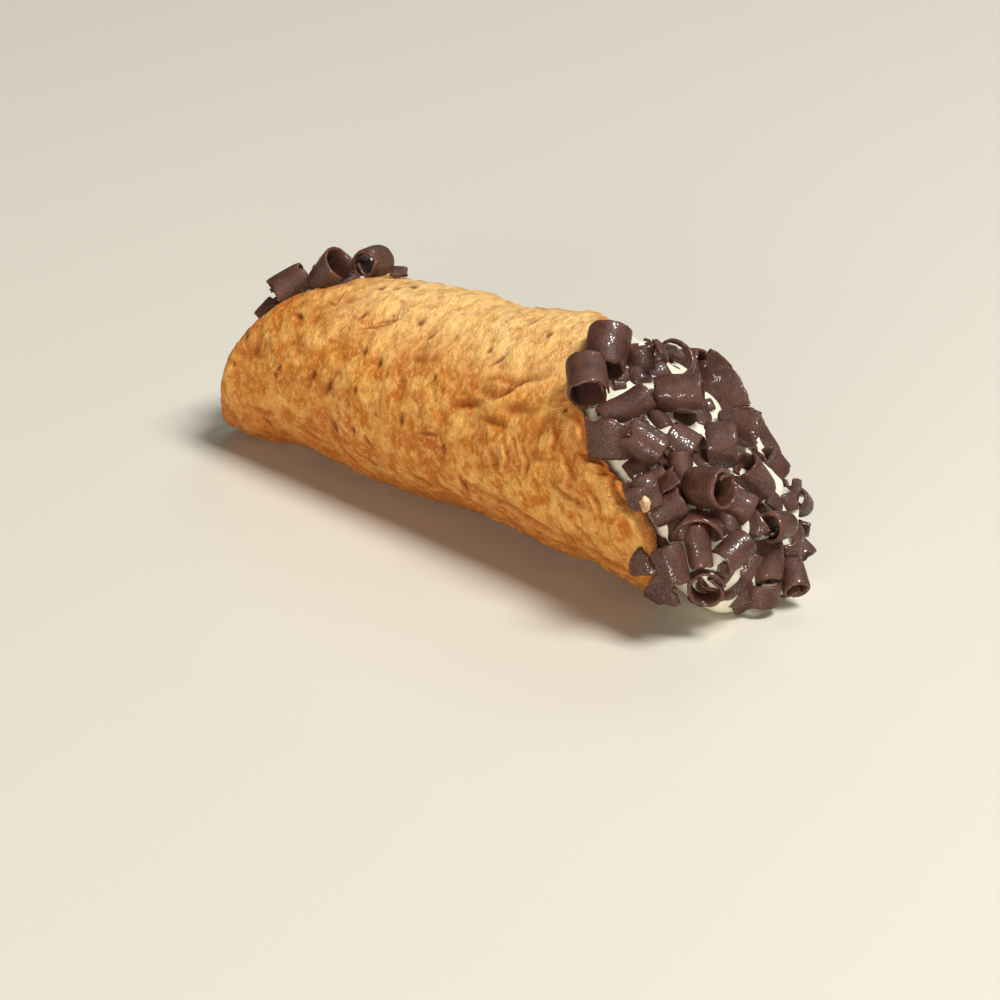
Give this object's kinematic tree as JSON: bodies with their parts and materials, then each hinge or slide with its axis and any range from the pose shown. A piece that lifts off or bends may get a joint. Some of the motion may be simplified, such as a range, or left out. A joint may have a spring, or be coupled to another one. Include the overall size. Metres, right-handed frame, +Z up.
{
  "type": "cannoli",
  "caption": "Rolled tube of fried golden dough filled with pale cream, with dark chocolate curls pressed on both ends, lying on its side.",
  "frame": {"origin": "on the surface the cannoli lies on, in the middle of the flat spot under the centre of the dough disc that was rolled into the tube", "axes": "+X along the tube towards its wider, fully dressed near end, -Y the side with the plain front of the tube, +Z up"},
  "size_m": [0.1471, 0.0599, 0.052],
  "materials": {
    "pastry": "fried dough, golden and satin, with browned patches, pits, blisters and pale flakes",
    "cream": "smooth off-white cream with a soft satin sheen",
    "chocolate": "dark chocolate, half gloss, with a fine sparkling grain and browner thin edges"
  },
  "bodies": {
    "root": {"shell": "pastry", "filling": "cream", "near_curl_01": "chocolate", "near_curl_02": "chocolate", "near_curl_03": "chocolate", "near_curl_04": "chocolate", "near_curl_05": "chocolate", "near_curl_06": "chocolate", "near_curl_07": "chocolate", "near_curl_08": "chocolate", "near_curl_09": "chocolate", "near_curl_10": "chocolate", "near_curl_11": "chocolate", "near_curl_12": "chocolate", "near_curl_13": "chocolate", "near_curl_14": "chocolate", "near_curl_15": "chocolate", "near_curl_16": "chocolate", "near_curl_17": "chocolate", "near_curl_18": "chocolate", "near_curl_19": "chocolate", "near_curl_20": "chocolate", "near_curl_21": "chocolate", "near_curl_22": "chocolate", "near_curl_23": "chocolate", "near_curl_24": "chocolate", "near_curl_25": "chocolate", "near_curl_26": "chocolate", "near_curl_27": "chocolate", "near_curl_28": "chocolate", "near_curl_29": "chocolate", "near_curl_30": "chocolate", "near_curl_31": "chocolate", "near_curl_32": "chocolate", "near_curl_33": "chocolate", "near_curl_34": "chocolate", "near_curl_35": "chocolate", "near_curl_36": "chocolate", "near_curl_37": "chocolate", "near_curl_38": "chocolate", "near_curl_39": "chocolate", "near_curl_40": "chocolate", "back_curl_01": "chocolate", "back_curl_02": "chocolate", "back_curl_03": "chocolate", "back_curl_04": "chocolate", "back_curl_05": "chocolate", "back_curl_06": "chocolate", "back_curl_07": "chocolate", "back_curl_08": "chocolate", "far_curl_01": "chocolate", "far_curl_02": "chocolate", "far_curl_03": "chocolate", "far_curl_04": "chocolate", "far_curl_05": "chocolate", "far_curl_06": "chocolate", "far_curl_07": "chocolate", "far_curl_08": "chocolate", "far_curl_09": "chocolate", "far_curl_10": "chocolate"}
  },
  "joints": []
}
